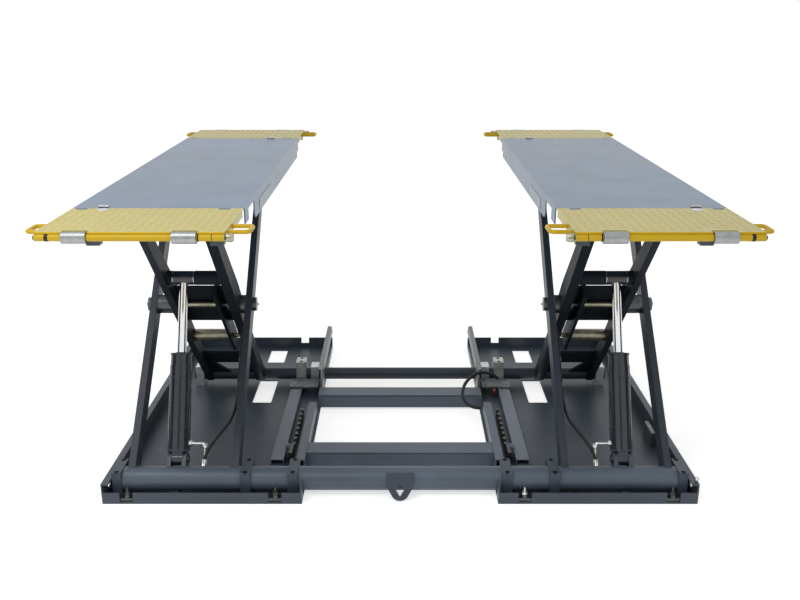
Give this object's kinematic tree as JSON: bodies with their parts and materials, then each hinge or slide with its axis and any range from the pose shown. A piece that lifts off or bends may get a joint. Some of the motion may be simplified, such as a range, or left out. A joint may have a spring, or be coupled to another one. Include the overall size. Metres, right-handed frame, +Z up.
{
  "type": "portable scissor car lift",
  "caption": "Portable mid-rise scissor lift for cars: linked scissor platforms on tray bases, hydraulic rams, a lock carriage and hinged roller ramps at each end.",
  "frame": {"origin": "on the floor, in the middle of the whole lift", "axes": "+Z up, +X to the right across both platforms, +Y from the towing lug towards the lock end"},
  "size_m": [1.974, 2.057, 1.001],
  "materials": {
    "frame_paint": "satin powder coat",
    "ramp_paint": "satin powder coat",
    "cylinder_paint": "gloss paint",
    "rod_chrome": "polished",
    "zinc": "zinc plated",
    "dark_steel": "oiled",
    "hose_rubber": "matt"
  },
  "bodies": {
    "base": {"base_pan_left": "frame_paint", "base_pan_right": "frame_paint", "front_beam": "frame_paint", "rear_beam": "frame_paint", "saddle_blocks": "frame_paint", "saddle_bolts": "dark_steel", "channel_rails": "frame_paint", "lock_racks": "zinc", "guide_angles": "zinc", "levelling_screws": "zinc", "blank_plate": "zinc"},
    "lift_frame": {"torque_tube": "frame_paint", "tow_lug": "frame_paint", "outer_leg_left": "frame_paint", "inner_leg_left": "frame_paint", "outer_leg_right": "frame_paint", "inner_leg_right": "frame_paint", "pivot_pins": "dark_steel", "deck_roller_axles": "dark_steel", "foot_lugs": "frame_paint", "foot_pins": "dark_steel", "hose_left": "hose_rubber", "hose_right": "hose_rubber"},
    "deck_rollers_left": {"deck_rollers_left": "dark_steel"},
    "deck_rollers_right": {"deck_rollers_right": "dark_steel"},
    "arm_frame": {"outer_arm_left": "frame_paint", "inner_arm_left": "frame_paint", "outer_arm_right": "frame_paint", "inner_arm_right": "frame_paint", "rear_tube": "frame_paint", "arm_cross_tubes": "frame_paint", "arm_plates": "frame_paint", "arm_spacers": "zinc"},
    "barrel_left": {"cylinder_barrel_left": "cylinder_paint"},
    "rod_left": {"cylinder_rod_left": "rod_chrome"},
    "barrel_right": {"cylinder_barrel_right": "cylinder_paint"},
    "rod_right": {"cylinder_rod_right": "rod_chrome"},
    "deck_left": {"deck_left": "frame_paint", "deck_pins_left": "dark_steel"},
    "deck_right": {"deck_right": "frame_paint", "deck_pins_right": "dark_steel"},
    "front_ramp_left": {"front_ramp_panel_left": "ramp_paint", "front_ramp_rod_left": "ramp_paint"},
    "front_ramp_rollers_left": {"front_ramp_rollers_left": "zinc"},
    "front_ramp_right": {"front_ramp_panel_right": "ramp_paint", "front_ramp_rod_right": "ramp_paint"},
    "front_ramp_rollers_right": {"front_ramp_rollers_right": "zinc"},
    "rear_ramp_left": {"rear_ramp_panel_left": "ramp_paint", "rear_ramp_rod_left": "ramp_paint"},
    "rear_ramp_rollers_left": {"rear_ramp_rollers_left": "zinc"},
    "rear_ramp_right": {"rear_ramp_panel_right": "ramp_paint", "rear_ramp_rod_right": "ramp_paint"},
    "rear_ramp_rollers_right": {"rear_ramp_rollers_right": "zinc"},
    "lock_carriage": {"lock_blocks": "dark_steel", "slide_blocks": "dark_steel", "lock_bars": "frame_paint", "lock_yokes": "zinc", "pawl_pins": "dark_steel"},
    "lock_pawl_left": {"lock_pawl_left": "dark_steel"},
    "lock_pawl_right": {"lock_pawl_right": "dark_steel"}
  },
  "joints": [
    {"name": "lift", "type": "hinge", "parent": "base", "child": "lift_frame", "pos_m": [0, -0.5905, 0.05], "axis": [1, 0, 0], "range_deg": [-43.18, 0]},
    {"name": "scissor", "type": "hinge", "parent": "lift_frame", "child": "arm_frame", "pos_m": [0, -0.13868, 0.5145], "axis": [1, 0, 0], "range_deg": [0, 86.37]},
    {"name": "deck_level_left", "type": "hinge", "parent": "arm_frame", "child": "deck_left", "pos_m": [-0.697, -0.5905, 0.979], "axis": [1, 0, 0], "range_deg": [-43.18, 0]},
    {"name": "deck_level_right", "type": "hinge", "parent": "arm_frame", "child": "deck_right", "pos_m": [0.697, -0.5905, 0.979], "axis": [1, 0, 0], "range_deg": [-43.18, 0]},
    {"name": "carriage_level", "type": "hinge", "parent": "arm_frame", "child": "lock_carriage", "pos_m": [0, 0.31315, 0.05], "axis": [1, 0, 0], "range_deg": [-43.18, 0]},
    {"name": "barrel_tilt_left", "type": "hinge", "parent": "lift_frame", "child": "barrel_left", "pos_m": [-0.75, -0.54448, 0.09731], "axis": [1, 0, 0], "range_deg": [-15.94, 0]},
    {"name": "rod_stroke_left", "type": "slide", "parent": "barrel_left", "child": "rod_left", "axis": [0, 0.4319, 0.9019], "range_m": [-0.23468, 0]},
    {"name": "barrel_tilt_right", "type": "hinge", "parent": "lift_frame", "child": "barrel_right", "pos_m": [0.75, -0.54448, 0.09731], "axis": [1, 0, 0], "range_deg": [-15.94, 0]},
    {"name": "rod_stroke_right", "type": "slide", "parent": "barrel_right", "child": "rod_right", "axis": [0, 0.4319, 0.9019], "range_m": [-0.23468, 0]},
    {"name": "deck_roller_spin_left", "type": "hinge", "parent": "lift_frame", "child": "deck_rollers_left", "pos_m": [-0.723, 0.31315, 0.979], "axis": [1, 0, 0], "continuous": true},
    {"name": "deck_roller_spin_right", "type": "hinge", "parent": "lift_frame", "child": "deck_rollers_right", "pos_m": [0.723, 0.31315, 0.979], "axis": [1, 0, 0], "continuous": true},
    {"name": "front_ramp_left_hinge", "type": "hinge", "parent": "deck_left", "child": "front_ramp_left", "pos_m": [-0.697, -0.7325, 0.986], "axis": [1, 0, 0], "range_deg": [0, 20]},
    {"name": "front_ramp_left_roller_spin", "type": "hinge", "parent": "front_ramp_left", "child": "front_ramp_rollers_left", "pos_m": [-0.698, -1.0125, 0.985], "axis": [1, 0, 0], "continuous": true},
    {"name": "front_ramp_right_hinge", "type": "hinge", "parent": "deck_right", "child": "front_ramp_right", "pos_m": [0.697, -0.7325, 0.986], "axis": [1, 0, 0], "range_deg": [0, 20]},
    {"name": "front_ramp_right_roller_spin", "type": "hinge", "parent": "front_ramp_right", "child": "front_ramp_rollers_right", "pos_m": [0.698, -1.0125, 0.985], "axis": [1, 0, 0], "continuous": true},
    {"name": "rear_ramp_left_hinge", "type": "hinge", "parent": "deck_left", "child": "rear_ramp_left", "pos_m": [-0.697, 0.7325, 0.986], "axis": [-1, 0, 0], "range_deg": [0, 20]},
    {"name": "rear_ramp_left_roller_spin", "type": "hinge", "parent": "rear_ramp_left", "child": "rear_ramp_rollers_left", "pos_m": [-0.698, 1.0125, 0.985], "axis": [1, 0, 0], "continuous": true},
    {"name": "rear_ramp_right_hinge", "type": "hinge", "parent": "deck_right", "child": "rear_ramp_right", "pos_m": [0.697, 0.7325, 0.986], "axis": [-1, 0, 0], "range_deg": [0, 20]},
    {"name": "rear_ramp_right_roller_spin", "type": "hinge", "parent": "rear_ramp_right", "child": "rear_ramp_rollers_right", "pos_m": [0.698, 1.0125, 0.985], "axis": [1, 0, 0], "continuous": true},
    {"name": "pawl_lift_left", "type": "hinge", "parent": "lock_carriage", "child": "lock_pawl_left", "pos_m": [-0.386, -0.3665, 0.0515], "axis": [-1, 0, 0], "range_deg": [0, 20]},
    {"name": "pawl_lift_right", "type": "hinge", "parent": "lock_carriage", "child": "lock_pawl_right", "pos_m": [0.386, -0.3665, 0.0515], "axis": [-1, 0, 0], "range_deg": [0, 20]}
  ],
  "couplings": [
    {"joint": "scissor", "follows": "lift", "ratio": -2},
    {"joint": "deck_level_left", "follows": "lift", "ratio": 1},
    {"joint": "deck_level_right", "follows": "lift", "ratio": 1},
    {"joint": "carriage_level", "follows": "lift", "ratio": 1},
    {"joint": "barrel_tilt_left", "follows": "lift", "ratio": 0.36911},
    {"joint": "rod_stroke_left", "follows": "lift", "m_per_rad": 0.31138},
    {"joint": "barrel_tilt_right", "follows": "lift", "ratio": 0.36911},
    {"joint": "rod_stroke_right", "follows": "lift", "m_per_rad": 0.31138}
  ]
}
